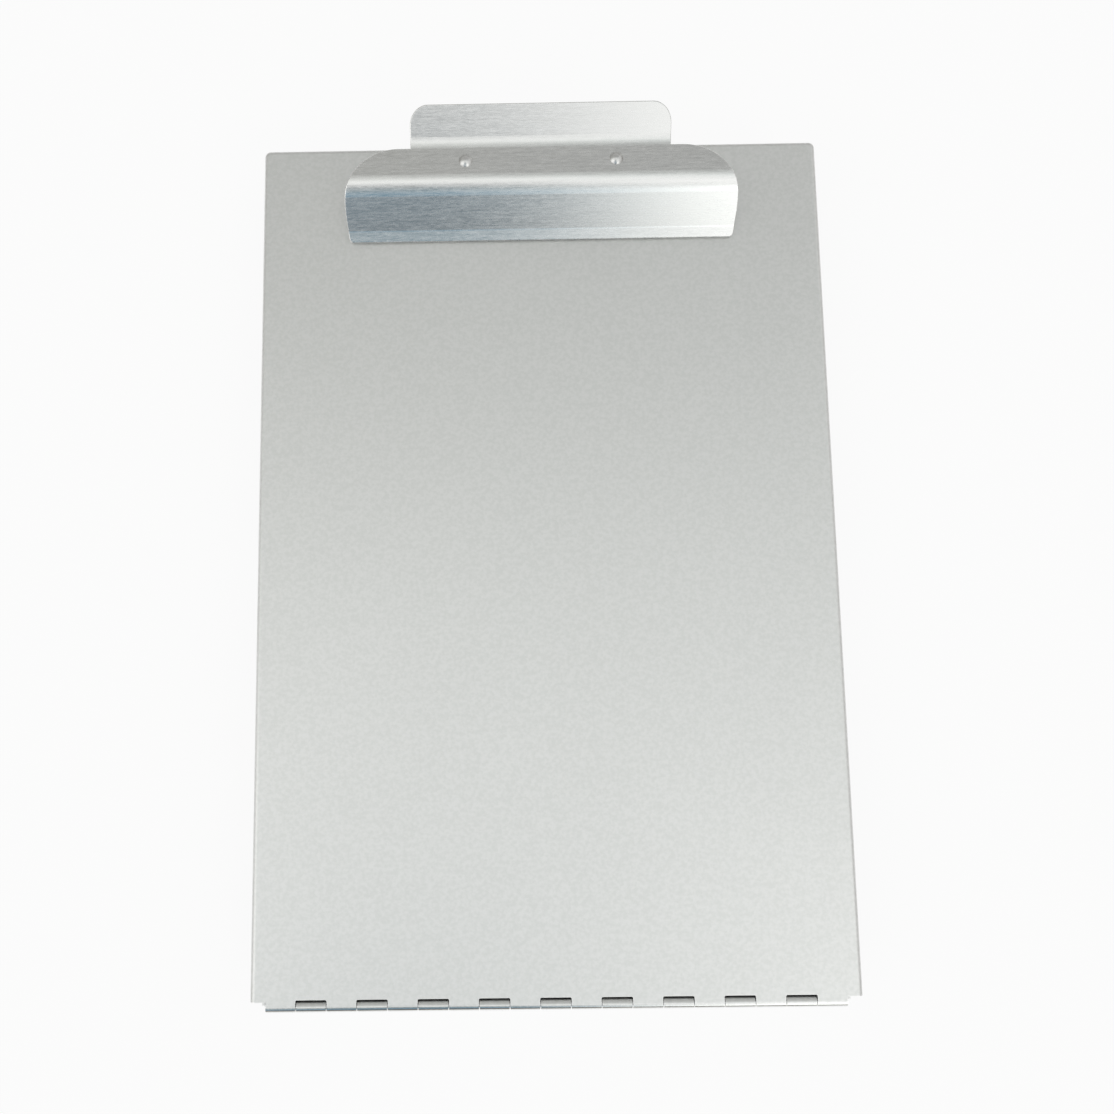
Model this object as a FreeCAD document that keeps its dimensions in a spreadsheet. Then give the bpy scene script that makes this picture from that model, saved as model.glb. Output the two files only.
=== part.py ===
import FreeCAD, Part
import math
import os
import re
import Sketcher

# Storage clipboard box: a shallow folded tray under a hinged writing plate with a
# sprung paper clip. X runs across the plate, +Y points from the rolled hinge to the
# clip, +Z points up. The origin is the centre of the tray's flat base, at half the
# length from the hinge barrel's front to the plate's rear edge. Lengths are in mm,
# angles in degrees.

SIZES = {
    # Case: writing plate and tray, both folded from one gauge of sheet
    "body_width": 229.0,
    "body_length": 343.0,
    "tray_depth": 25.4,
    "sheet": 1.0,
    "bend_radius": 2.0,
    "corner_extra": 0.5,
    "flange_depth": 8.0,
    "side_gap": 3.5,
    "rear_gap": 1.5,
    "lid_rest_gap": 0.3,
    "seam_gap": 0.4,
    "seam_foot": 0.5,
    "corner_tab_length": 14.0,
    "corner_tab_margin": 1.0,
    # Hinge rolled from the front edges of the plate and the tray
    "hinge_bore_radius": 1.0,
    "hinge_pin_clearance": 0.05,
    "tray_knuckles": 9,
    "knuckle_gap": 0.3,
    "hinge_end_gap": 0.4,
    "slot_clearance": 0.8,
    "slot_corner": 0.6,
    "roll_overlap_angle": 15.0,
    "flange_setback": 2.1,
    # Clip plate: thumb tab, flat middle, sloping jaw and pressing lip
    "clip_thickness": 1.5,
    "clip_height": 16.0,
    "clip_width": 158.3,
    "rear_bend_inner": 12.0,
    "rear_bend_start": 0.8,
    "front_bend_inset": 24.85,
    "front_bend_inner": 10.0,
    "tab_width": 104.1,
    "tab_length": 14.7,
    "tab_angle": 24.0,
    "tab_corner": 7.5,
    "shoulder_inset": 9.3,
    "shoulder_land": 4.7,
    "shoulder_drop": 22.4,
    "jaw_angle": 42.3,
    "lip_angle": 30.0,
    "lip_bend_inner": 3.0,
    "lip_length": 4.3,
    "toe_gap": 0.3,
    "toe_slant": 4.8,
    "toe_corner": 2.2,
    "edge_round": 0.4,
    # Pivot of the clip, with its two brackets
    "bracket_sheet": 1.2,
    "bracket_bend_inner": 1.0,
    "pivot_inset": 15.3,
    "pivot_height": 7.25,
    "pivot_pin_radius": 2.0,
    "pivot_clearance": 0.05,
    "pivot_seat_clearance": 0.02,
    "clip_bracket_width": 76.0,
    "bracket_side_gap": 0.6,
    "bracket_depth": 10.0,
    "ear_reach": 4.6,
    "ear_round": 3.8,
    "paper_stop_inset": 22.6,
    "paper_stop_height": 6.0,
    "paper_stop_width": 60.0,
    "retainer_radius": 3.6,
    "retainer_thickness": 0.9,
    "retainer_gap": 0.3,
    "pin_end_proud": 0.8,
    "pin_chamfer": 0.3,
    # Torsion springs on the pivot pin
    "spring_wire_radius": 0.6,
    "spring_mean_radius": 3.0,
    "spring_pitch": 1.75,
    "spring_turns": 6,
    "spring_inset": 12.0,
    "spring_leg": 5.0,
    "spring_leg_angle": 34.0,
    # Rivets
    "rivet_fit": 0.05,
    "clip_rivet_spread": 60.1,
    "clip_rivet_inset": 14.9,
    "clip_rivet_head_radius": 2.7,
    "clip_rivet_head_height": 1.2,
    "clip_rivet_shank_radius": 1.5,
    "clip_rivet_tail_radius": 2.3,
    "clip_rivet_tail_height": 0.7,
    "base_rivet_spacing": 20.0,
    "base_rivet_head_radius": 2.4,
    "base_rivet_head_height": 1.1,
    "base_rivet_shank_radius": 1.5,
    "base_rivet_tail_radius": 2.3,
    "base_rivet_tail_height": 0.8,
    "corner_rivet_head_radius": 2.3,
    "corner_rivet_head_height": 1.0,
    "corner_rivet_shank_radius": 1.3,
    "corner_rivet_tail_radius": 2.0,
    "corner_rivet_tail_height": 0.7,
    # How far a cutting shape runs past the face that it cuts
    "overrun": 1.0,
}

# Places and sizes that follow from the ones above
DERIVED = {
    "lid_top": "tray_depth + lid_rest_gap + sheet",
    "lid_under": "lid_top - sheet",
    "front_y": "-body_length / 2",
    "rear_y": "body_length / 2",
    "half_width": "body_width / 2",
    "tray_half": "half_width - sheet - side_gap",
    "tray_inner_half": "tray_half - sheet",
    "tray_rear_y": "rear_y - sheet - rear_gap",
    "corner_radius": "bend_radius + corner_extra",
    "knuckle_radius": "hinge_bore_radius + sheet",
    "hinge_y": "front_y + knuckle_radius",
    "hinge_z": "lid_top - knuckle_radius",
    "hinge_pitch": "2 * (tray_inner_half - hinge_end_gap) / (2 * tray_knuckles + 1)",
    "hinge_half": "tray_inner_half - hinge_end_gap - knuckle_gap / 2",
    "knuckle_length": "hinge_pitch - knuckle_gap",
    "first_slot_x": "-(tray_knuckles - 1) * hinge_pitch",
    "slot_y": "hinge_y + knuckle_radius + slot_clearance",
    "notch_z": "hinge_z - knuckle_radius - slot_clearance",
    "lid_front_y": "hinge_y + flange_setback",
    "tab_start_y": "front_y + bend_radius",
    "tab_end_y": "tray_rear_y - bend_radius",
    "corner_rivet_front_y": "front_y + corner_radius + corner_tab_length / 2",
    "corner_rivet_rear_y": "tray_rear_y - corner_radius - corner_tab_length / 2",
    "corner_rivet_z": "tray_depth / 2",
    "clip_top": "lid_top + clip_height",
    "clip_under": "clip_top - clip_thickness",
    "rear_bend_y": "shoulder_y - rear_bend_start + rear_bend_inner * tan(tab_angle / 2)",
    "front_bend_y": "rear_y - front_bend_inset",
    "thumb_end_y": "rear_bend_y + tab_length * cos(tab_angle)",
    "thumb_end_z": "clip_top + tab_length * sin(tab_angle)",
    "toe_z": "lid_top + toe_gap + clip_thickness * cos(lip_angle)",
    "lip_start_z": "toe_z + lip_length * sin(lip_angle)",
    "lip_start_y": "front_bend_y - (clip_top - lip_start_z) / tan(jaw_angle)",
    "toe_y": "lip_start_y - lip_length * cos(lip_angle)",
    "clip_half": "clip_width / 2",
    "tab_half": "tab_width / 2",
    "shoulder_y": "rear_y - shoulder_inset",
    "shoulder_inner_x": "tab_half + shoulder_land",
    "shoulder_low_y": "shoulder_y - shoulder_drop",
    "shoulder_span": "clip_half - shoulder_inner_x",
    "shoulder_sides": "(shoulder_span ^ 2 + shoulder_drop ^ 2)",
    "shoulder_lead": "shoulder_span + shoulder_drop",
    "shoulder_tangent": "(sqrt(shoulder_lead ^ 2 + 2 * shoulder_sides) - shoulder_lead) / 2",
    "shoulder_mid_x": "(shoulder_inner_x + shoulder_tangent + clip_half) / 2",
    "shoulder_mid_y": "(shoulder_y + shoulder_low_y + shoulder_tangent) / 2",
    "shoulder_high_x": "shoulder_mid_x - shoulder_inner_x",
    "shoulder_high_y": "shoulder_y - shoulder_mid_y",
    "shoulder_side_x": "clip_half - shoulder_mid_x",
    "shoulder_side_y": "shoulder_mid_y - shoulder_low_y",
    "shoulder_high_radius": "(shoulder_high_x ^ 2 + shoulder_high_y ^ 2) / (2 * shoulder_high_y)",
    "shoulder_side_radius": "(shoulder_side_x ^ 2 + shoulder_side_y ^ 2) / (2 * shoulder_side_x)",
    "side_centre_x": "clip_half - shoulder_side_radius",
    "side_end_x": "side_centre_x + shoulder_side_radius * cos(toe_slant)",
    "side_end_y": "shoulder_low_y - shoulder_side_radius * sin(toe_slant)",
    "toe_centre_y": "toe_y + toe_corner",
    "toe_fall": "(shoulder_low_y - toe_centre_y) * sin(toe_slant)",
    "toe_centre_x": "side_centre_x + (shoulder_side_radius - toe_corner - toe_fall) / cos(toe_slant)",
    "pivot_y": "rear_y - pivot_inset",
    "pivot_z": "lid_top + pivot_height",
    "clip_web_under": "clip_under - bracket_sheet",
    "clip_bracket_half": "clip_bracket_width / 2",
    "base_bracket_half": "clip_bracket_half - bracket_sheet - bracket_side_gap",
    "base_web_top": "lid_top + bracket_sheet",
    "paper_stop_y": "rear_y - paper_stop_inset",
    "retainer_x": "clip_bracket_half + retainer_gap",
    "pivot_pin_half": "retainer_x + retainer_thickness + pin_end_proud",
    "clip_rivet_y": "rear_y - clip_rivet_inset",
}

SAME_PLACE = 1e-4
SMOOTH_JOIN = 0.9
SPRING_TURN_PARTS = 4
CHECK_POINTS_PER_TURN = 48

FOLDER = "parts"

doc = FreeCAD.newDocument("StorageClipboardBox")
sheet = doc.addObject("Spreadsheet::Sheet", "Sizes")


def fill_sheet():
    """Writes each size and its name on a row of the sheet."""
    for row, (name, size) in enumerate(SIZES.items(), 1):
        sheet.set(f"A{row}", name)
        sheet.set(f"B{row}", str(size))
        sheet.setAlias(f"B{row}", name)
    doc.recompute()


def sized(text):
    """The expression with derived names written out and sizes read from the sheet."""

    def swap(match):
        word = match.group(0)
        if word in DERIVED:
            return "(" + sized(DERIVED[word]) + ")"
        return "Sizes." + word if word in SIZES else word

    return re.sub(r"[a-z_]+", swap, text)


def value(text):
    """The number that an expression gives with the sheet's present sizes."""
    return float(sheet.evalExpression(sized(text)))


def bind(thing, prop, text):
    thing.setExpression(prop, sized(text))


def new_body(name):
    body = doc.addObject("PartDesign::Body", name)
    body.Label = name
    return body


def origin_part(body, role):
    return next(f for f in body.Origin.OriginFeatures if f.Role == role)


def new_sketch(body, name, plane, height="0"):
    """An empty sketch on one of the body's own planes, raised by height."""
    sketch = body.newObject("Sketcher::SketchObject", name)
    sketch.AttachmentSupport = [(origin_part(body, plane), "")]
    sketch.MapMode = "FlatFace"
    bind(sketch, "AttachmentOffset.Base.z", height)
    return sketch


def hold(sketch, kind, *where, text):
    """Adds one dimension to a sketch and ties it to the sheet."""
    index = sketch.addConstraint(Sketcher.Constraint(kind, *where, value(text)))
    bind(sketch, f"Constraints[{index}]", text)


def direction(spot, centre):
    return math.atan2(spot.y - centre.y, spot.x - centre.x)


def outline(sketch, points, arcs=None):
    """A closed outline through the points. Side i is an arc about arcs[i], if it has one."""
    arcs = arcs or {}
    spots = [FreeCAD.Vector(value(x), value(y), 0) for x, y in points]
    first = sketch.GeometryCount
    ends = []
    for i, start in enumerate(spots):
        end = spots[(i + 1) % len(spots)]
        if i not in arcs:
            sketch.addGeometry(Part.LineSegment(start, end))
            ends.append((1, 2))
            continue
        centre = FreeCAD.Vector(value(arcs[i][0]), value(arcs[i][1]), 0)
        whole = Part.Circle(centre, FreeCAD.Vector(0, 0, 1), (start - centre).Length)
        forward = (start - centre).cross(end - centre).z > 0
        a, b = (start, end) if forward else (end, start)
        low = direction(a, centre)
        sweep = (direction(b, centre) - low) % (2 * math.pi)
        sketch.addGeometry(Part.ArcOfCircle(whole, low, low + sweep))
        ends.append((1, 2) if forward else (2, 1))
    for i, (x, y) in enumerate(points):
        before = (i - 1) % len(points)
        sketch.addConstraint(
            Sketcher.Constraint("Coincident", first + before, ends[before][1], first + i, ends[i][0])
        )
        hold(sketch, "DistanceX", -1, 1, first + i, ends[i][0], text=x)
        hold(sketch, "DistanceY", -1, 1, first + i, ends[i][0], text=y)
    for i, (x, y) in arcs.items():
        chord = spots[(i + 1) % len(spots)] - spots[i]
        if abs(chord.x) > abs(chord.y):
            hold(sketch, "DistanceY", -1, 1, first + i, 3, text=y)
        else:
            hold(sketch, "DistanceX", -1, 1, first + i, 3, text=x)


def rectangle(sketch, left, low, right, high):
    outline(sketch, [(left, low), (right, low), (right, high), (left, high)])


def circle(sketch, x, y, radius):
    centre = FreeCAD.Vector(value(x), value(y), 0)
    index = sketch.addGeometry(Part.Circle(centre, FreeCAD.Vector(0, 0, 1), value(radius)))
    hold(sketch, "DistanceX", -1, 1, index, 3, text=x)
    hold(sketch, "DistanceY", -1, 1, index, 3, text=y)
    hold(sketch, "Radius", index, text=radius)


def feature(body, kind, name):
    """Adds a feature, made the body's tip."""
    made = body.newObject(kind, name)
    body.Tip = made
    return made


def pad(body, name, sketch, length, symmetric=True):
    made = feature(body, "PartDesign::Pad", name)
    made.Profile = sketch
    made.SideType = "Symmetric" if symmetric else "One side"
    bind(made, "Length", length)
    doc.recompute()
    return made


def pocket(body, name, sketch, length, symmetric=False):
    """Cuts the sketch out of the body, against the sketch's normal, and checks that it cut."""
    before = body.Shape.Volume
    made = feature(body, "PartDesign::Pocket", name)
    made.Profile = sketch
    made.SideType = "Symmetric" if symmetric else "One side"
    bind(made, "Length", length)
    doc.recompute()
    if not made.Shape.Volume < before:
        raise RuntimeError(f"{name} cuts nothing")
    return made


def row_of(body, name, originals, spacing, count):
    """Repeats features along X."""
    made = feature(body, "PartDesign::LinearPattern", name)
    made.Originals = originals
    made.Direction = (origin_part(body, "X_Axis"), [""])
    made.Mode = "Spacing"
    bind(made, "Offset", spacing)
    bind(made, "Occurrences", count)
    body.Tip = made
    doc.recompute()
    return made


def round_edges(body, name, base, test, radius):
    """Rounds the edges of the base feature that pass the test."""
    names = [f"Edge{i}" for i, edge in enumerate(base.Shape.Edges, 1) if test(edge)]
    if not names:
        raise RuntimeError(f"{name} finds no edge")
    made = feature(body, "PartDesign::Fillet", name)
    made.Base = (base, names)
    bind(made, "Radius", radius)
    doc.recompute()
    return made


def near(a, b):
    return abs(a - b) < SAME_PLACE


def strip(corners, headings, bends, thickness):
    """Outline of a bent strip of sheet.

    Its outer line runs through the corners, each straight on its heading, and the
    sheet lies to the left of it. bends are the inner radii of its bends.
    """
    there = []
    back = []
    arcs = []
    last = len(headings)
    for i, (x, y) in enumerate(corners):
        came = headings[max(i - 1, 0)]
        goes = headings[min(i, last - 1)]
        if i in (0, last):
            there.append((x, y))
            back.append((f"{x} - {thickness} * sin({goes})", f"{y} + {thickness} * cos({goes})"))
            continue
        turn = f"({goes} - ({came}))"
        left_turn = value(turn) > 0
        size = turn if left_turn else f"(-{turn})"
        bend = bends[i - 1]
        outer = f"({bend} + {thickness})" if left_turn else bend
        side = "" if left_turn else "-"
        reach = f"{outer} * tan({size} / 2)"
        begin = (f"{x} - {reach} * cos({came})", f"{y} - {reach} * sin({came})")
        finish = (f"{x} + {reach} * cos({goes})", f"{y} + {reach} * sin({goes})")
        centre = (
            f"{begin[0]} - ({side}{outer}) * sin({came})",
            f"{begin[1]} + ({side}{outer}) * cos({came})",
        )
        arcs.append((len(there), centre))
        there += [begin, finish]
        back.append(
            (f"{begin[0]} - {thickness} * sin({came})", f"{begin[1]} + {thickness} * cos({came})")
        )
        back.append(
            (f"{finish[0]} - {thickness} * sin({goes})", f"{finish[1]} + {thickness} * cos({goes})")
        )
    points = there + back[::-1]
    total = len(points)
    curves = {i: centre for i, centre in arcs}
    curves.update({total - 2 - i: centre for i, centre in arcs})
    return points, curves


def roll(start, level, turns):
    """Outline of sheet that runs straight to the hinge axis and rolls round it.

    start and level are the straight's far end, outer and inner, and turns are the
    angles about the axis at which the roll's arcs meet.
    """
    axis = ("hinge_y", "hinge_z")

    def spot(radius, angle):
        return (f"hinge_y + {radius} * cos({angle})", f"hinge_z + {radius} * sin({angle})")

    outer = [spot("knuckle_radius", a) for a in turns]
    inner = [spot("hinge_bore_radius", a) for a in reversed(turns)]
    points = [start] + outer + inner + [level]
    count = len(turns)
    arcs = {i: axis for i in range(1, count)}
    arcs.update({i: axis for i in range(count + 1, 2 * count)})
    return points, arcs


# Case


def pan(body, low_y, high_y, low_z, high_z, half, vertical, flat, open_sides):
    """A pan bent up from sheet: a filleted block, hollowed from its open sides."""
    base = new_sketch(body, body.Name + "_block", "XY_Plane", low_z)
    rectangle(base, "-" + half, low_y, half, high_y)
    block = pad(body, body.Name + "_blank", base, f"{high_z} - ({low_z})", symmetric=False)
    corners = round_edges(body, body.Name + "_corners", block, vertical, "corner_radius")
    bends = round_edges(body, body.Name + "_bends", corners, flat, "bend_radius")
    names = [f"Face{i}" for i, face in enumerate(bends.Shape.Faces, 1) if open_sides(face)]
    shell = feature(body, "PartDesign::Thickness", body.Name + "_wall")
    shell.Base = (bends, names)
    shell.Reversed = True
    bind(shell, "Value", "sheet")
    doc.recompute()
    if not shell.Shape.Volume < bends.Shape.Volume:
        raise RuntimeError(f"{body.Name} isn't hollow")


def upright(edge):
    low = edge.BoundBox
    return near(low.XLength, 0) and near(low.YLength, 0)


def make_tray():
    """The storage tray, one folded sheet with nine rolled hinge knuckles."""
    body = new_body("tray")
    pan(
        body,
        "front_y",
        "tray_rear_y",
        "0",
        "tray_depth",
        "tray_half",
        upright,
        lambda edge: near(edge.BoundBox.ZMax, 0),
        lambda face: near(face.BoundBox.ZMin, value("tray_depth")),
    )
    sketch = new_sketch(body, "hinge_relief", "XY_Plane", "tray_depth + overrun")
    edge = "tray_half + overrun"
    rectangle(sketch, f"-({edge})", "front_y - overrun", edge, "front_y + corner_radius")
    pocket(body, "hinge_relief_cut", sketch, "tray_depth + overrun - notch_z")

    for name, low_y, high_y, high_z in (
        ("front", "tab_start_y", "front_y + corner_radius + corner_tab_length", "notch_z"),
        ("rear", "tray_rear_y - corner_radius - corner_tab_length", "tab_end_y", "tray_depth"),
    ):
        sketch = new_sketch(body, name + "_tab", "XY_Plane", "bend_radius")
        inner = "tray_inner_half - sheet"
        outer = "tray_inner_half"
        rectangle(sketch, inner, low_y, outer, high_y)
        rectangle(sketch, f"-({outer})", low_y, f"-({inner})", high_y)
        height = f"{high_z} - corner_tab_margin - bend_radius"
        pad(body, name + "_tabs", sketch, height, symmetric=False)

    for name, seam_y in (
        ("front", "front_y + corner_radius"),
        ("rear", "tray_rear_y - corner_radius"),
    ):
        sketch = new_sketch(body, name + "_seam", "XY_Plane", "tray_depth + overrun")
        low = f"{seam_y} - seam_gap / 2"
        high = f"{seam_y} + seam_gap / 2"
        rectangle(sketch, "tray_inner_half", low, "tray_half + overrun", high)
        rectangle(sketch, "-(tray_half + overrun)", low, "-tray_inner_half", high)
        depth = "tray_depth + overrun - bend_radius - seam_foot"
        pocket(body, name + "_seam_cut", sketch, depth)

    sketch = new_sketch(body, "tray_roll", "YZ_Plane", "first_slot_x")
    turns = ["180", "90", "0", "-90 - roll_overlap_angle"]
    points, arcs = roll(("front_y", "notch_z"), ("front_y + sheet", "notch_z"), turns)
    outline(sketch, points, arcs)
    knuckle = pad(body, "tray_knuckle", sketch, "knuckle_length")
    row_of(body, "tray_knuckle_row", [knuckle], "2 * hinge_pitch", "tray_knuckles")

    sketch = new_sketch(body, "corner_rivet_holes", "YZ_Plane")
    for y in ("corner_rivet_front_y", "corner_rivet_rear_y"):
        circle(sketch, y, "corner_rivet_z", "corner_rivet_shank_radius + rivet_fit")
    pocket(body, "corner_rivet_hole_cut", sketch, "2 * (tray_half + overrun)", symmetric=True)
    return body


def make_lid():
    """The writing plate, one folded sheet with three flanges and ten hinge knuckles."""
    body = new_body("writing_plate")

    def vertical(edge):
        return upright(edge) and near(edge.BoundBox.YMax, value("rear_y"))

    def flat(edge):
        box = edge.BoundBox
        return near(box.ZMin, value("lid_top")) and box.YMax > value("lid_front_y + sheet")

    def open_sides(face):
        box = face.BoundBox
        return near(box.ZMax, value("lid_top - flange_depth")) or near(box.YMax, value("lid_front_y"))

    pan(
        body,
        "lid_front_y",
        "rear_y",
        "lid_top - flange_depth",
        "lid_top",
        "half_width",
        vertical,
        flat,
        open_sides,
    )

    sketch = new_sketch(body, "lid_seam", "XY_Plane", "lid_top - bend_radius")
    low = "rear_y - corner_radius - seam_gap / 2"
    high = "rear_y - corner_radius + seam_gap / 2"
    inner = "half_width - sheet - overrun"
    outer = "half_width + overrun"
    rectangle(sketch, inner, low, outer, high)
    rectangle(sketch, f"-({outer})", low, f"-({inner})", high)
    pocket(body, "lid_seam_cut", sketch, "flange_depth")

    sketch = new_sketch(body, "lid_roll", "YZ_Plane")
    turns = ["90", "180", "270", "360 + roll_overlap_angle"]
    points, arcs = roll(("slot_y", "lid_top"), ("slot_y", "lid_under"), turns)
    outline(sketch, points, arcs)
    pad(body, "lid_knuckles", sketch, "2 * hinge_half")

    sketch = new_sketch(body, "hinge_slot", "XY_Plane", "lid_top + overrun")
    reach = "(hinge_pitch + knuckle_gap) / 2"
    left = f"first_slot_x - {reach}"
    right = f"first_slot_x + {reach}"
    outline(
        sketch,
        [
            (left, "front_y - overrun"),
            (right, "front_y - overrun"),
            (right, "slot_y - slot_corner"),
            (f"{right} - slot_corner", "slot_y"),
            (f"{left} + slot_corner", "slot_y"),
            (left, "slot_y - slot_corner"),
        ],
        {
            2: (f"{right} - slot_corner", "slot_y - slot_corner"),
            4: (f"{left} + slot_corner", "slot_y - slot_corner"),
        },
    )
    slot = pocket(body, "hinge_slot_cut", sketch, "overrun + sheet")
    sketch = new_sketch(body, "hinge_gap", "XY_Plane", "lid_under")
    rectangle(sketch, left, "front_y - overrun", right, "slot_y")
    gap = pocket(body, "hinge_gap_cut", sketch, "2 * knuckle_radius - sheet + overrun")
    row_of(body, "hinge_slot_row", [slot, gap], "2 * hinge_pitch", "tray_knuckles")

    sketch = new_sketch(body, "base_rivet_holes", "XY_Plane", "lid_top + overrun")
    for x in BASE_RIVET_PLACES:
        circle(sketch, x, "pivot_y", "base_rivet_shank_radius + rivet_fit")
    pocket(body, "base_rivet_hole_cut", sketch, "sheet + 2 * overrun")
    return body


def make_hinge_pin():
    """The long pin through the rolled knuckles."""
    pin = doc.addObject("Part::Cylinder", "hinge_pin")
    pin.Label = "hinge_pin"
    bind(pin, "Radius", "hinge_bore_radius - hinge_pin_clearance")
    bind(pin, "Height", "2 * hinge_half")
    pin.Placement.Rotation = FreeCAD.Rotation(FreeCAD.Vector(0, 1, 0), 90)
    bind(pin, "Placement.Base.x", "-hinge_half")
    bind(pin, "Placement.Base.y", "hinge_y")
    bind(pin, "Placement.Base.z", "hinge_z")
    return pin


# Clip


def make_clip_plate():
    """The clip: one plate bent into a thumb tab, a flat middle, a jaw and a lip."""
    body = new_body("clip_plate")
    sketch = new_sketch(body, "clip_profile", "YZ_Plane")
    corners = [
        ("thumb_end_y", "thumb_end_z"),
        ("rear_bend_y", "clip_top"),
        ("front_bend_y", "clip_top"),
        ("lip_start_y", "lip_start_z"),
        ("toe_y", "toe_z"),
    ]
    headings = ["(180 + tab_angle)", "180", "(180 + jaw_angle)", "(180 + lip_angle)"]
    bends = ["rear_bend_inner", "front_bend_inner", "lip_bend_inner"]
    points, arcs = strip(corners, headings, bends, "clip_thickness")
    outline(sketch, points, arcs)
    pad(body, "clip_blank", sketch, "clip_width")

    sketch = new_sketch(body, "clip_outline", "XY_Plane", "thumb_end_z + overrun")
    right = [
        ("tab_half - tab_corner", "thumb_end_y"),
        ("tab_half", "thumb_end_y - tab_corner"),
        ("tab_half", "shoulder_y"),
        ("shoulder_inner_x", "shoulder_y"),
        ("shoulder_mid_x", "shoulder_mid_y"),
        ("side_end_x", "side_end_y"),
        ("toe_centre_x + toe_corner * cos(toe_slant)", "toe_centre_y - toe_corner * sin(toe_slant)"),
        ("toe_centre_x", "toe_y"),
    ]
    left = [(f"-({x})", y) for x, y in reversed(right)]
    tab_centre = ("tab_half - tab_corner", "thumb_end_y - tab_corner")
    high_centre = ("shoulder_inner_x", "shoulder_y - shoulder_high_radius")
    side_centre = ("side_centre_x", "shoulder_low_y")
    toe_centre = ("toe_centre_x", "toe_centre_y")
    centres = {0: tab_centre, 3: high_centre, 4: side_centre, 6: toe_centre}
    last = 2 * len(right) - 2
    arcs = dict(centres)
    arcs.update({last - i: (f"-({x})", y) for i, (x, y) in centres.items()})
    outline(sketch, right + left, arcs)
    edge = "clip_half + overrun"
    rectangle(sketch, f"-({edge})", "toe_y - overrun", edge, "thumb_end_y + clip_thickness + overrun")
    trimmed = pocket(body, "clip_trim", sketch, "thumb_end_z - lid_top + overrun")

    def rim(edge):
        """True for an edge where two faces meet at an angle."""
        faces = trimmed.Shape.ancestorsOfType(edge, Part.Face)
        if len(faces) != 2:
            return False
        spot = edge.valueAt((edge.FirstParameter + edge.LastParameter) / 2)
        normals = [face.normalAt(*face.Surface.parameter(spot)) for face in faces]
        return abs(normals[0].dot(normals[1])) < SMOOTH_JOIN and not upright(edge)

    round_edges(body, "clip_edge_round", trimmed, rim, "edge_round")

    sketch = new_sketch(body, "clip_rivet_holes", "XY_Plane", "clip_top + overrun")
    for x in CLIP_RIVET_PLACES:
        circle(sketch, x, "clip_rivet_y", "clip_rivet_shank_radius + rivet_fit")
    pocket(body, "clip_rivet_hole_cut", sketch, "clip_thickness + 2 * overrun")
    return body


def ear_rounds(body, name, base, level):
    """Rounds the free ends of a bracket's two ears."""

    def end_corner(edge):
        box = edge.BoundBox
        flat = near(box.YLength, 0) and near(box.ZLength, 0)
        return flat and near(box.ZMax, value(level))

    round_edges(body, name, base, end_corner, "ear_round")


def pivot_hole(body, name, clearance):
    sketch = new_sketch(body, name, "YZ_Plane")
    circle(sketch, "pivot_y", "pivot_z", f"pivot_pin_radius + {clearance}")
    pocket(body, name + "_cut", sketch, "clip_bracket_width + 2 * overrun", symmetric=True)


def make_clip_bracket():
    """The channel riveted under the clip, whose two ears turn on the pivot pin."""
    body = new_body("clip_bracket")
    sketch = new_sketch(body, "clip_channel", "XZ_Plane", "-pivot_y")
    low = "pivot_z - ear_reach"
    half = "clip_bracket_half"
    corners = [(half, low), (half, "clip_under"), ("-" + half, "clip_under"), ("-" + half, low)]
    points, arcs = strip(corners, ["90", "180", "270"], ["bracket_bend_inner"] * 2, "bracket_sheet")
    outline(sketch, points, arcs)
    channel = pad(body, "clip_channel_pad", sketch, "bracket_depth")
    ear_rounds(body, "clip_ear_rounds", channel, low)
    pivot_hole(body, "clip_pivot_hole", "pivot_clearance")
    sketch = new_sketch(body, "bracket_rivet_holes", "XY_Plane", "clip_under + overrun")
    for x in CLIP_RIVET_PLACES:
        circle(sketch, x, "clip_rivet_y", "clip_rivet_shank_radius + rivet_fit")
    pocket(body, "bracket_rivet_hole_cut", sketch, "bracket_sheet + 2 * overrun")
    return body


def make_base_bracket():
    """The channel riveted to the plate: two ears hold the pin, its front lip stops paper."""
    body = new_body("base_bracket")
    sketch = new_sketch(body, "base_channel", "XZ_Plane", "-pivot_y")
    high = "pivot_z + ear_reach"
    half = "base_bracket_half"
    corners = [("-" + half, high), ("-" + half, "lid_top"), (half, "lid_top"), (half, high)]
    points, arcs = strip(corners, ["270", "360", "450"], ["bracket_bend_inner"] * 2, "bracket_sheet")
    outline(sketch, points, arcs)
    channel = pad(body, "base_channel_pad", sketch, "bracket_depth")
    ear_rounds(body, "base_ear_rounds", channel, high)
    sketch = new_sketch(body, "paper_stop", "YZ_Plane")
    corners = [
        ("paper_stop_y", "lid_top + paper_stop_height"),
        ("paper_stop_y", "lid_top"),
        ("pivot_y", "lid_top"),
    ]
    points, arcs = strip(corners, ["270", "360"], ["bracket_bend_inner"], "bracket_sheet")
    outline(sketch, points, arcs)
    pad(body, "paper_stop_pad", sketch, "paper_stop_width")
    pivot_hole(body, "base_pivot_hole", "pivot_seat_clearance")
    sketch = new_sketch(body, "bracket_base_holes", "XY_Plane", "base_web_top + overrun")
    for x in BASE_RIVET_PLACES:
        circle(sketch, x, "pivot_y", "base_rivet_shank_radius + rivet_fit")
    pocket(body, "bracket_base_hole_cut", sketch, "bracket_sheet + 2 * overrun")
    return body


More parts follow.
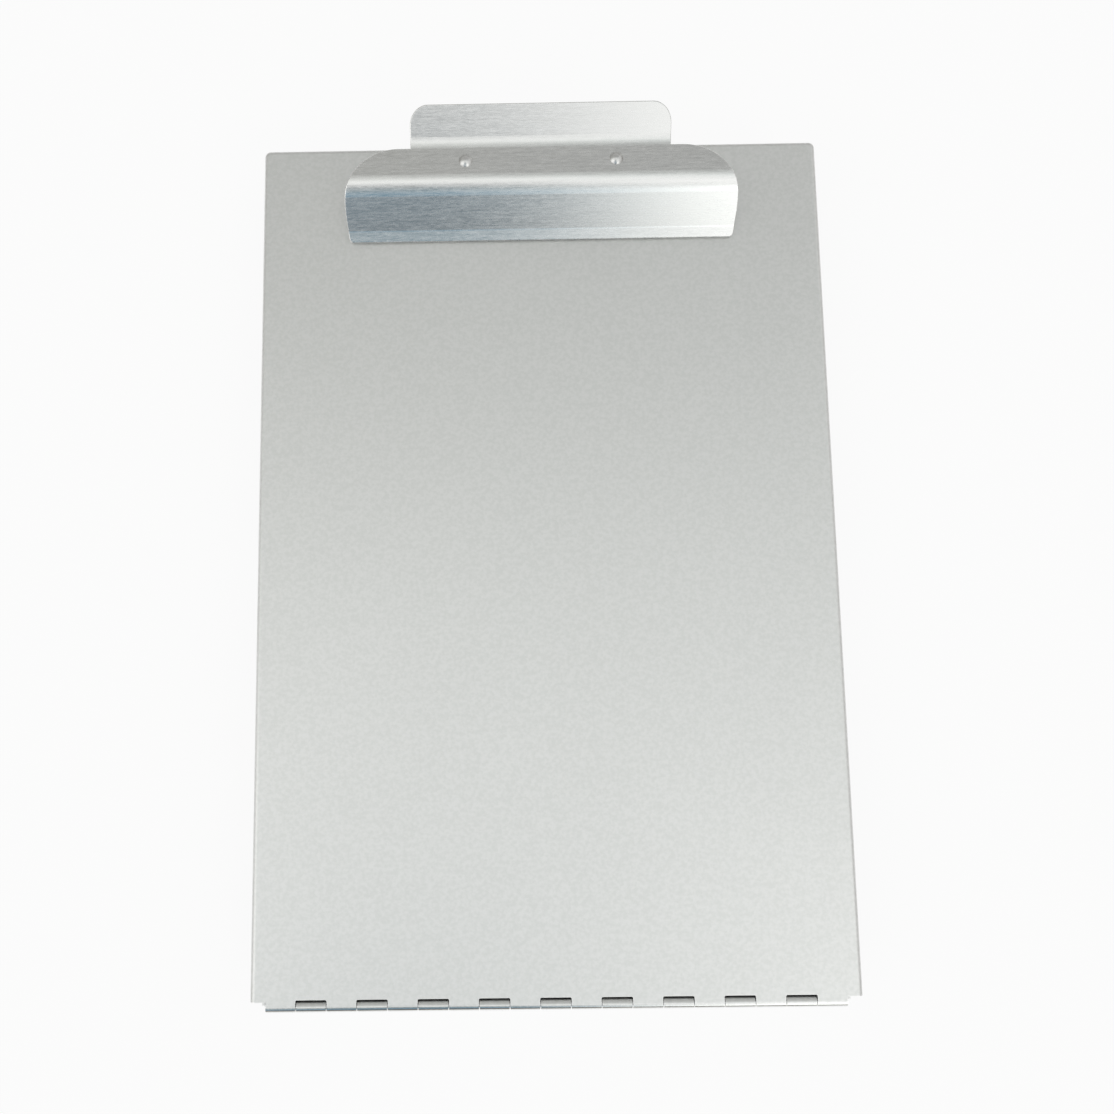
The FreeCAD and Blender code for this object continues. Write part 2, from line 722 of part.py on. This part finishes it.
def turned(body, name, plane, height, points, arcs, axis):
    """A turned solid: the outline spun about the line through the two axis points."""
    sketch = new_sketch(body, name + "_half", plane, height)
    spots = [FreeCAD.Vector(value(x), value(y), 0) for x, y in axis]
    line = sketch.addGeometry(Part.LineSegment(*spots), True)
    for end, (x, y) in enumerate(axis, 1):
        hold(sketch, "DistanceX", -1, 1, line, end, text=x)
        hold(sketch, "DistanceY", -1, 1, line, end, text=y)
    outline(sketch, points, arcs)
    made = feature(body, "PartDesign::Revolution", name)
    made.Profile = sketch
    made.ReferenceAxis = (sketch, ["Axis0"])
    doc.recompute()
    return made


def rivet(body, name, plane, height, kind, along, low, high, spot, flip=""):
    """A round-headed rivet, with its shank between the levels low and high.

    along is the sketch direction that the rivet lies on, spot its place across that
    direction. flip of "-" turns the head towards the negative side.
    """
    head = f"{kind}_head_radius"
    rise = f"{kind}_head_height"
    shank = f"{kind}_shank_radius"
    tail = f"{kind}_tail_radius"
    drop = f"{kind}_tail_height"
    dome = f"({head} * {head} + {rise} * {rise}) / (2 * {rise})"
    half = [
        (f"{low} - {drop}", "0"),
        (f"{low} - {drop}", tail),
        (low, tail),
        (low, shank),
        (high, shank),
        (high, head),
        (f"{high} + {rise}", "0"),
    ]

    def place(level, across):
        level = f"{flip}({level})"
        across = f"{spot} + {across}"
        return (level, across) if along == "x" else (across, level)

    points = [place(level, across) for level, across in half]
    centre = place(f"{high} + {rise} - {dome}", "0")
    axis = [place(low, "0"), place(high, "0")]
    turned(body, name, plane, height, points, {5: centre}, axis)


CLIP_RIVET_PLACES = ["-clip_rivet_spread / 2", "clip_rivet_spread / 2"]
BASE_RIVET_STEPS = (-1.5, -0.5, 0.5, 1.5)
BASE_RIVET_PLACES = [f"{step} * base_rivet_spacing" for step in BASE_RIVET_STEPS]


def make_corner_rivets():
    body = new_body("tray_corner_rivets")
    for side, flip in (("right", ""), ("left", "-")):
        for end in ("front", "rear"):
            rivet(
                body,
                f"{side}_{end}_rivet",
                "XY_Plane",
                "corner_rivet_z",
                "corner_rivet",
                "x",
                "(tray_inner_half - sheet)",
                "tray_half",
                f"corner_rivet_{end}_y",
                flip,
            )
    return body


def make_clip_rivets():
    body = new_body("clip_rivets")
    for side, x in zip(("left", "right"), CLIP_RIVET_PLACES):
        rivet(
            body,
            f"{side}_clip_rivet",
            "XZ_Plane",
            "-clip_rivet_y",
            "clip_rivet",
            "z",
            "clip_web_under",
            "clip_top",
            x,
        )
    return body


def make_base_rivets():
    body = new_body("base_bracket_rivets")
    for number, x in enumerate(BASE_RIVET_PLACES, 1):
        rivet(
            body,
            f"base_rivet_number_{number}",
            "XZ_Plane",
            "-pivot_y",
            "base_rivet",
            "z",
            "lid_under",
            "base_web_top",
            x,
        )
    return body


def make_pivot_pin():
    """The clip's pivot pin, chamfered at both ends."""
    body = new_body("clip_pivot_pin")
    end = "pivot_pin_half"
    points = [
        (f"-{end}", "pivot_z"),
        (end, "pivot_z"),
        (end, "pivot_z + pivot_pin_radius - pin_chamfer"),
        (f"{end} - pin_chamfer", "pivot_z + pivot_pin_radius"),
        (f"-({end} - pin_chamfer)", "pivot_z + pivot_pin_radius"),
        (f"-{end}", "pivot_z + pivot_pin_radius - pin_chamfer"),
    ]
    axis = [(f"-{end}", "pivot_z"), (end, "pivot_z")]
    turned(body, "pivot_pin_turned", "XZ_Plane", "-pivot_y", points, {}, axis)
    return body


def make_retainers():
    """The push-on rings that keep the pivot pin in its ears."""
    body = new_body("pivot_retainers")
    inner = "pivot_z + pivot_pin_radius + pivot_seat_clearance"
    outer = "pivot_z + retainer_radius"
    axis = [("-retainer_x", "pivot_z"), ("retainer_x", "pivot_z")]
    for side, flip in (("right", ""), ("left", "-")):
        near_x = f"{flip}(retainer_x)"
        far_x = f"{flip}(retainer_x + retainer_thickness)"
        chamfer_x = f"{flip}(retainer_x + retainer_thickness - pin_chamfer)"
        points = [
            (near_x, inner),
            (near_x, outer),
            (chamfer_x, outer),
            (far_x, f"{outer} - pin_chamfer"),
            (far_x, inner),
        ]
        turned(body, f"{side}_retainer", "XZ_Plane", "-pivot_y", points, {}, axis)
    return body


# Springs


def arc_edge(start, corner, end):
    """The arc that leaves start towards corner and reaches end."""
    chord_middle = (start + end) / 2
    lift = corner - chord_middle
    half_chord = (end - start).Length / 2
    angle = lift.Length / half_chord
    slant = (1 + angle * angle) ** 0.5
    sagitta = half_chord * (slant - 1) / angle
    middle = chord_middle + lift.normalize() * sagitta
    return Part.Arc(start, middle, end).toShape()


def biarc(start, start_way, end, end_way):
    """Two arcs that join start to end, each end on its own heading."""
    gap = end - start
    ways = start_way + end_way
    lead = gap.dot(ways)
    spare = 4 - ways.dot(ways)
    reach = (-lead + (lead * lead + spare * gap.dot(gap)) ** 0.5) / spare
    first = start + start_way * reach
    second = end - end_way * reach
    joint = (first + second) / 2
    return [arc_edge(start, first, joint), arc_edge(joint, second, end)]


def coil_spot(turn, start_x, step):
    """A point of the coil and its heading, turn in degrees from the wire's start."""
    rotation = FreeCAD.Rotation(FreeCAD.Vector(1, 0, 0), turn)
    radius = value("spring_mean_radius")
    spoke = rotation.multVec(FreeCAD.Vector(0, 0, radius))
    round_way = rotation.multVec(FreeCAD.Vector(0, -1, 0))
    centre = FreeCAD.Vector(start_x + step * turn / 360, value("pivot_y"), value("pivot_z"))
    climb = step / (2 * math.pi * radius)
    heading = (round_way + FreeCAD.Vector(climb, 0, 0)).normalize()
    return centre + spoke, heading


def make_spring(name, side):
    """A torsion spring: both legs point to the rear, one under the clip, one on the base."""
    step = side * value("spring_pitch")
    start_x = side * value("spring_inset")
    first = value("spring_leg_angle")
    last = 360 * value("spring_turns") + 180 - first
    parts = SPRING_TURN_PARTS * int(value("spring_turns")) + SPRING_TURN_PARTS // 2
    spots = [coil_spot(first + (last - first) * i / parts, start_x, step) for i in range(parts + 1)]
    leg = value("spring_leg")
    begin = spots[0][0] - spots[0][1] * leg
    finish = spots[-1][0] + spots[-1][1] * leg
    edges = [Part.LineSegment(begin, spots[0][0]).toShape()]
    for (point, way), (next_point, next_way) in zip(spots, spots[1:]):
        edges += biarc(point, way, next_point, next_way)
    edges.append(Part.LineSegment(spots[-1][0], finish).toShape())
    wire_radius = value("spring_wire_radius")
    ring = Part.Circle(begin, spots[0][1], wire_radius).toShape()
    tube = Part.Wire(edges).makePipeShell([Part.Wire([ring])], True, False)
    spring = doc.addObject("Part::Feature", name)
    spring.Label = name
    spring.Shape = tube
    spring.Placement = FreeCAD.Placement()
    length = sum(edge.Length for edge in edges)
    ideal = math.pi * wire_radius**2 * length
    print(f"{name}: volume {tube.Volume:.2f}, section times length {ideal:.2f}")
    print(f"{name}: least gap to itself {self_gap(edges):.3f} mm")
    return spring


def self_gap(edges):
    """The least gap of a wound wire to itself, measured on points along its path."""
    radius = value("spring_mean_radius")
    wire_radius = value("spring_wire_radius")
    spacing = 2 * math.pi * radius / CHECK_POINTS_PER_TURN
    points = []
    travelled = []
    so_far = 0.0
    for edge in edges:
        count = max(int(edge.Length / spacing), 2)
        for i in range(count):
            points.append(edge.valueAt(edge.getParameterByLength(edge.Length * i / count)))
            travelled.append(so_far + edge.Length * i / count)
        so_far += edge.Length
    apart = math.pi * radius
    gaps = [
        (a - b).Length
        for i, a in enumerate(points)
        for j, b in enumerate(points[:i])
        if travelled[i] - travelled[j] > apart
    ]
    return min(gaps) - 2 * wire_radius


# The whole part


def check_and_write(pieces):
    """Stops at a failed feature or a bad solid, then writes each piece's file."""
    doc.recompute()
    for thing in doc.Objects:
        if "Invalid" in thing.State or "Error" in thing.State:
            raise RuntimeError(f"{thing.Name}: {thing.State}")
    os.makedirs(FOLDER, exist_ok=True)
    for piece in pieces:
        shape = piece.Shape
        if shape.isNull() or not shape.isValid():
            raise RuntimeError(f"{piece.Label} has a bad shape")
        shape.exportStep(os.path.join(FOLDER, piece.Label + ".step"))
        print(piece.Label, len(shape.Solids), round(shape.Volume, 2))


fill_sheet()
check_and_write(
    [
        make_tray(),
        make_corner_rivets(),
        make_lid(),
        make_hinge_pin(),
        make_clip_plate(),
        make_clip_rivets(),
        make_clip_bracket(),
        make_base_bracket(),
        make_base_rivets(),
        make_pivot_pin(),
        make_retainers(),
        make_spring("left_spring", -1),
        make_spring("right_spring", 1),
    ]
)
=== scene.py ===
import math

import bpy
from mathutils import Matrix, Vector

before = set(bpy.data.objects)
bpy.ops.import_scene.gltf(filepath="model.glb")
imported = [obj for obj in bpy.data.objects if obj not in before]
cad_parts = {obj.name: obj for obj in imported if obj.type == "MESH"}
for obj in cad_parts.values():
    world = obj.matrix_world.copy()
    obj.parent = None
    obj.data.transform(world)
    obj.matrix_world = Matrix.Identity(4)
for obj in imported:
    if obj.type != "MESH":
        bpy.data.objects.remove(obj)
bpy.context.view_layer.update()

# Storage clipboard box. X runs across the plate, +Y points from the rolled hinge to the
# clip, +Z points up, all in metres. Every piece is bare aluminium, zinc plated steel or
# drawn steel: the two folded sheets have a fine even grain, the clip is brushed across its
# width, and the rivets are bright.

MM = 0.001

# Camera, solved from the plate's four corners in the photo
PHOTO_SIDE = 1114
CAMERA_PLACE = Vector((-15.7, -51.7, 417.5)) * MM
CAMERA_TURN = (-7.41, -0.42, 0.84)
SENSOR = 36.0
FOCAL_SHARE = 1000 / PHOTO_SIDE
SIDE_SHIFT = 57 / PHOTO_SIDE
NEAREST_SEEN = 0.01
FARTHEST_SEEN = 20.0


def add_camera():
    data = bpy.data.cameras.new("camera")
    data.sensor_width = SENSOR
    data.lens = SENSOR * FOCAL_SHARE
    data.shift_x = SIDE_SHIFT
    data.clip_start = NEAREST_SEEN
    data.clip_end = FARTHEST_SEEN
    camera = bpy.data.objects.new("camera", data)
    bpy.context.scene.collection.objects.link(camera)
    tilt, roll, turn = (math.radians(a) for a in CAMERA_TURN)
    look = (
        Matrix.Rotation(turn, 4, "Z")
        @ Matrix.Rotation(roll, 4, "Y")
        @ Matrix.Rotation(tilt, 4, "X")
    )
    camera.matrix_world = Matrix.Translation(CAMERA_PLACE) @ look.transposed()
    bpy.context.scene.camera = camera


# Shader arithmetic


class Value:
    """A number that varies over a surface. Arithmetic on it adds Math nodes."""

    def __init__(self, tree, socket):
        self.tree = tree
        self.socket = socket

    def math(self, operation, *terms, clamp=False):
        node = self.tree.nodes.new("ShaderNodeMath")
        node.operation = operation
        node.use_clamp = clamp
        for slot, term in zip(node.inputs, terms):
            if isinstance(term, Value):
                self.tree.links.new(term.socket, slot)
            else:
                slot.default_value = term
        return Value(self.tree, node.outputs[0])

    def __add__(self, other):
        return self.math("ADD", self, other)

    def __radd__(self, other):
        return self.math("ADD", other, self)

    def __sub__(self, other):
        return self.math("SUBTRACT", self, other)

    def __rsub__(self, other):
        return self.math("SUBTRACT", other, self)

    def __mul__(self, other):
        return self.math("MULTIPLY", self, other)

    def __rmul__(self, other):
        return self.math("MULTIPLY", other, self)

    def __neg__(self):
        return self.math("MULTIPLY", self, -1.0)

    def clamped(self):
        return self.math("ADD", self, 0.0, clamp=True)

    def over(self, low, high):
        """0 below low and 1 above high, with a straight ramp between them."""
        return self.math("MULTIPLY", self - low, 1 / (high - low), clamp=True)


class Finish:
    """A node tree with one way to add nodes to it."""

    PLACES = ("first", "second", "third")

    def __init__(self, tree):
        self.tree = tree
        tree.nodes.clear()

    def node(self, kind, settings=(), output=0, **values):
        """Adds a node of that kind and gives one of its outputs.

        settings are set on the node first. values are its sockets, by place as first,
        second and third, or by name with a space written as an underscore. Each takes a
        number, a colour or a link.
        """
        node = self.tree.nodes.new("ShaderNode" + kind)
        for name, setting in dict(settings).items():
            if name == "stops":
                self.set_stops(node.color_ramp, setting)
            else:
                setattr(node, name, setting)
        for name, value in values.items():
            slot = self.slot(node, name)
            if isinstance(value, Value):
                self.tree.links.new(value.socket, slot)
            else:
                slot.default_value = value
        return Value(self.tree, node.outputs[output]) if node.outputs else None

    def slot(self, node, name):
        if name in self.PLACES:
            return node.inputs[self.PLACES.index(name)]
        wanted = name.replace("_", " ")
        return next(s for s in node.inputs if s.enabled and s.name == wanted)

    @staticmethod
    def set_stops(ramp, stops):
        while len(ramp.elements) > 1:
            ramp.elements.remove(ramp.elements[-1])
        for i, (place, colour) in enumerate(stops):
            stop = ramp.elements[0] if i == 0 else ramp.elements.new(place)
            stop.position = place
            stop.color = (*colour, 1.0)

    def place(self):
        return self.node("TexCoord", output="Object")

    def parts(self, vector, axes):
        """The vector's parts along the named axes."""
        return (self.node("SeparateXYZ", output=axis, Vector=vector) for axis in axes)

    def stretched(self, place, scale):
        """The place with each axis multiplied, which draws a noise out into streaks."""
        return self.node("Mapping", Vector=place, Scale=scale)

    def noise(self, vector, scale, detail, rough):
        return self.node("TexNoise", Vector=vector, Scale=scale, Detail=detail, Roughness=rough)

    def mix_colour(self, share, first, second):
        first, second = (c if isinstance(c, Value) else (*c, 1.0) for c in (first, second))
        return self.node("Mix", {"data_type": "RGBA"}, output=2, Factor=share, A=first, B=second)

    def mix_shader(self, share, first, second):
        return self.node("MixShader", first=share, second=first, third=second)


def material(name):
    made = bpy.data.materials.new(name)
    made.use_nodes = True
    return made, Finish(made.node_tree)


def finish_metal(finish, colour, roughness, bump):
    shader = finish.node(
        "BsdfPrincipled", Base_Color=colour, Metallic=1.0, Roughness=roughness, Normal=bump
    )
    finish.node("OutputMaterial", Surface=shader)


# Finishes

# How far an edge's eased and flat directions differ where the lighter edge starts and is full.
# The lighter edge is partly rubbed metal and partly a painted highlight.
RUBBED_AND_HIGHLIGHT_FROM_TO = (0.01, 0.16)
# Colour of the edges: rubbed metal, and a painted highlight along them
RUBBED_AND_HIGHLIGHT_COLOUR = (0.93, 0.93, 0.92)

SHEET_COLOURS = (0.79, 0.80, 0.785), (0.845, 0.85, 0.84)
SHEET_ROUGHNESS = 0.47
SHEET_EDGE = 0.0006
SHEET_GRAIN_DEPTH = 0.00008
# The front of the knuckles lies past the hinge's axis and above the tray's front wall
KNUCKLES_FRONT_FROM_TO = (0.1688, 0.1698)
KNUCKLES_HEIGHT_FROM_TO = (0.0224, 0.0229)

CLIP_COLOURS = (0.79, 0.795, 0.785), (0.91, 0.91, 0.90)
CLIP_ROUGHNESS = 0.25
CLIP_EDGE = 0.0005
CLIP_STROKE_DEPTH = 0.00005
FINE_STROKES = (420.0, 2800.0, 2800.0)
LONG_STROKES = (90.0, 1400.0, 1400.0)

PLAIN_GRAIN_DEPTH = 0.00005
PLAIN_DARKER = 0.92


def cut_edges(finish, width):
    """1 along the edges of a piece and 0 away from them, width metres wide."""
    eased = finish.node("Bevel", {"samples": 6}, Radius=width)
    flat = finish.node("NewGeometry", output="Normal")
    alike = finish.node(
        "VectorMath", {"operation": "DOT_PRODUCT"}, output="Value", first=eased, second=flat
    )
    return (1.0 - alike).over(*RUBBED_AND_HIGHLIGHT_FROM_TO)


def satin_sheet():
    """The folded sheet: a fine grain, rubbed edges lighter in colour, partly as wear and partly
    as a painted highlight, and knuckles burnished by rolling.
    """
    made, finish = material("satin_sheet")
    place = finish.place()
    grain = finish.noise(place, scale=1500.0, detail=2.0, rough=0.7)
    speck = finish.noise(place, scale=700.0, detail=2.0, rough=0.5)
    cloud = finish.noise(place, scale=16.0, detail=3.0, rough=0.5)
    rubbed_and_highlit = cut_edges(finish, SHEET_EDGE)
    toward_clip, height = finish.parts(place, "YZ")
    past_front = (-toward_clip).over(*KNUCKLES_FRONT_FROM_TO)
    burnished = past_front * height.over(*KNUCKLES_HEIGHT_FROM_TO)
    dull = finish.mix_colour(speck.over(0.35, 0.65), *SHEET_COLOURS)
    # Edges lighter in colour: partly rubbed wear, partly a painted highlight along the cut edges
    colour = finish.mix_colour(rubbed_and_highlit, dull, RUBBED_AND_HIGHLIGHT_COLOUR)
    uneven = SHEET_ROUGHNESS + (grain - 0.5) * 0.14 + (cloud - 0.5) * 0.08
    roughness = uneven - rubbed_and_highlit * 0.12 - burnished * 0.30
    bump = finish.node(
        "Bump", Strength=0.3, Distance=SHEET_GRAIN_DEPTH, Height=grain * 0.6 + speck * 0.4
    )
    finish_metal(finish, colour, roughness, bump)
    return made


def brushed_clip():
    """The clip: fine short strokes across its width, with polished cut edges that are lighter in
    colour, partly as wear and partly as a painted highlight.
    """
    made, finish = material("brushed_clip")
    place = finish.place()
    fine = finish.noise(finish.stretched(place, FINE_STROKES), scale=1.0, detail=2.0, rough=0.6)
    long = finish.noise(finish.stretched(place, LONG_STROKES), scale=1.0, detail=2.0, rough=0.5)
    strokes = fine * 0.65 + long * 0.35
    rubbed_and_highlit = cut_edges(finish, CLIP_EDGE)
    dull = finish.mix_colour(strokes.over(0.35, 0.65), *CLIP_COLOURS)
    # Edges lighter in colour: partly polished wear, partly a painted highlight along the cut
    # edges
    colour = finish.mix_colour(rubbed_and_highlit, dull, RUBBED_AND_HIGHLIGHT_COLOUR)
    roughness = CLIP_ROUGHNESS + (strokes - 0.5) * 0.30 - rubbed_and_highlit * 0.08
    bump = finish.node("Bump", Strength=0.2, Distance=CLIP_STROKE_DEPTH, Height=strokes)
    finish_metal(finish, colour, roughness, bump)
    return made


def plain_metal(name, colour, rough, grain_scale, strength):
    made, finish = material(name)
    grain = finish.noise(finish.place(), grain_scale, detail=3.0, rough=0.6)
    roughness = rough + (grain - 0.5) * 0.15
    dark = tuple(c * PLAIN_DARKER for c in colour)
    tint = finish.mix_colour(grain.over(0.3, 0.7), dark, colour)
    bump = finish.node("Bump", Strength=strength, Distance=PLAIN_GRAIN_DEPTH, Height=grain)
    finish_metal(finish, tint, roughness, bump)
    return made


def dress(node, made):
    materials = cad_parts[node].data.materials
    if not materials:
        materials.append(made)
    for i in range(len(materials)):
        materials[i] = made


# Studio

WHITE = (1.0, 1.0, 1.0, 1.0)
FLOOR_COLOUR = (0.9, 0.9, 0.9, 1.0)
FLOOR_SIZE = 6.0
# How much of the floor's white is seen, and not its lit colour, so that a shadow stays
FLOOR_SEEN_WHITE = 0.90


def add_floor():
    """A pale table, nearly white to the camera and in reflections, with a faint shadow."""
    made, finish = material("floor")
    camera, glossy, through = (
        finish.node("LightPath", output=f"Is {kind} Ray")
        for kind in ("Camera", "Glossy", "Transmission")
    )
    plain = finish.node("BsdfDiffuse", Color=FLOOR_COLOUR)
    white = finish.node("Emission", Color=WHITE, Strength=1.0)
    seen = (camera + glossy + through).clamped() * FLOOR_SEEN_WHITE
    finish.node("OutputMaterial", Surface=finish.mix_shader(seen, plain, white))
    bpy.ops.mesh.primitive_plane_add(size=FLOOR_SIZE, location=(0.0, 0.0, 0.0))
    floor = bpy.context.object
    floor.name = "floor"
    floor.data.materials.append(made)


# Brightness of the room that the metal mirrors, from its rear (0) over the zenith (0.5) to
# its front (1): in the middle, at the far left and at the right, where the window is. The
# numbers were fitted to how bright the metal is in the photo, then rounded and changed.
MIDDLE = (
    (0.0, (0.60, 0.60, 0.59)),
    (0.25, (0.355, 0.355, 0.34)),
    (0.375, (0.68, 0.69, 0.67)),
    (0.45, (0.88, 0.89, 0.87)),
    (0.50, (1.08, 1.08, 1.06)),
    (0.55, (0.98, 0.99, 0.98)),
    (0.60, (0.64, 0.65, 0.65)),
    (0.65, (0.38, 0.39, 0.40)),
    (0.71, (0.23, 0.27, 0.29)),
    (0.775, (0.20, 0.27, 0.31)),
    (0.88, (0.17, 0.31, 0.42)),
    (0.94, (0.14, 0.14, 0.14)),
    (1.0, (0.07, 0.065, 0.06)),
)
FAR_LEFT = (
    (0.0, (0.65, 0.65, 0.64)),
    (0.25, (0.42, 0.42, 0.405)),
    (0.375, (0.56, 0.57, 0.55)),
    (0.45, (0.82, 0.83, 0.81)),
    (0.50, (1.16, 1.16, 1.14)),
    (0.55, (1.38, 1.38, 1.36)),
    (0.62, (1.50, 1.50, 1.48)),
    (0.70, (1.40, 1.40, 1.39)),
    (0.80, (1.10, 1.10, 1.09)),
    (0.93, (0.80, 0.80, 0.80)),
    (1.0, (0.16, 0.155, 0.15)),
)
RIGHT = (
    (0.0, (0.70, 0.70, 0.69)),
    (0.25, (0.365, 0.365, 0.36)),
    (0.375, (0.56, 0.58, 0.57)),
    (0.45, (0.82, 0.85, 0.84)),
    (0.50, (1.03, 1.05, 1.04)),
    (0.55, (0.96, 0.97, 0.96)),
    (0.60, (1.10, 1.10, 1.09)),
    (0.65, (1.28, 1.28, 1.27)),
    (0.71, (1.10, 1.10, 1.08)),
    (0.76, (1.00, 1.00, 0.98)),
    (0.81, (1.25, 1.25, 1.22)),
    (0.87, (1.62, 1.64, 1.60)),
    (0.93, (1.55, 1.56, 1.52)),
    (0.965, (0.30, 0.295, 0.285)),
    (1.0, (0.08, 0.075, 0.07)),
)
WALL = (0.26, 0.245, 0.23)
BESIDE_WINDOW = (0.78, 0.78, 0.77)

# Where one part of the room passes into the next, as parts of the direction to it
LEFT_FROM_TO = (0.20, 0.40)
WINDOW_SLANT = 0.12
WINDOW_FROM_TO = (-0.07, 0.10)
WINDOW_END_FROM_TO = (0.42, 0.62)
WALL_TOP_FROM_TO = (0.18, 0.44)


def add_world():
    """Grey walls, bright overhead, a large window at the front right. Seen as white."""
    world = bpy.data.worlds.new("studio")
    bpy.context.scene.world = world
    world.use_nodes = True
    finish = Finish(world.node_tree)
    across, along, up = finish.parts(finish.node("TexCoord", output="Generated"), "XYZ")
    front = 0.5 - along * 0.5
    middle, left, right = (
        finish.node("ValToRGB", {"stops": stops}, Fac=front)
        for stops in (MIDDLE, FAR_LEFT, RIGHT)
    )
    window = (across + along * WINDOW_SLANT).over(*WINDOW_FROM_TO)
    colour = finish.mix_colour((-across).over(*LEFT_FROM_TO), middle, left)
    colour = finish.mix_colour(window, colour, right)
    colour = finish.mix_colour(across.over(*WINDOW_END_FROM_TO), colour, BESIDE_WINDOW)
    colour = finish.mix_colour(up.over(*WALL_TOP_FROM_TO), WALL, colour)
    room = finish.node("Background", Color=colour, Strength=1.0)
    white = finish.node("Background", Color=WHITE, Strength=1.0)
    camera = finish.node("LightPath", output="Is Camera Ray")
    finish.node("OutputWorld", Surface=finish.mix_shader(camera, room, white))


LAMP_PLACE = Vector((0.9, -1.0, 1.3))
LAMP_SIDE = 0.7
LAMP_POWER = 1.0


def add_lamp():
    """One soft lamp by the window, turned to the middle of the box's base."""
    data = bpy.data.lights.new("front_window", "AREA")
    data.shape = "RECTANGLE"
    data.size = data.size_y = LAMP_SIDE
    data.energy = LAMP_POWER
    lamp = bpy.data.objects.new("front_window", data)
    bpy.context.scene.collection.objects.link(lamp)
    turn = (-LAMP_PLACE).to_track_quat("-Z", "Y").to_matrix().to_4x4()
    lamp.matrix_world = Matrix.Translation(LAMP_PLACE) @ turn


SHEET = satin_sheet()
CLIP = brushed_clip()
RIVET = plain_metal(
    "bright_rivet", (0.72, 0.72, 0.71), rough=0.32, grain_scale=1500.0, strength=0.1
)
PLATED = plain_metal(
    "zinc_plate", (0.66, 0.67, 0.69), rough=0.38, grain_scale=900.0, strength=0.15
)
DRAWN = plain_metal(
    "drawn_steel", (0.62, 0.62, 0.63), rough=0.3, grain_scale=1200.0, strength=0.1
)
for node, made in {
    "tray": SHEET,
    "writing_plate": SHEET,
    "clip_plate": CLIP,
    "tray_corner_rivets": RIVET,
    "clip_rivets": RIVET,
    "base_bracket_rivets": RIVET,
    "clip_bracket": PLATED,
    "base_bracket": PLATED,
    "hinge_pin": DRAWN,
    "clip_pivot_pin": DRAWN,
    "pivot_retainers": DRAWN,
    "left_spring": DRAWN,
    "right_spring": DRAWN,
}.items():
    dress(node, made)

add_camera()
add_floor()
add_world()
add_lamp()

bpy.context.scene.view_settings.view_transform = "Standard"
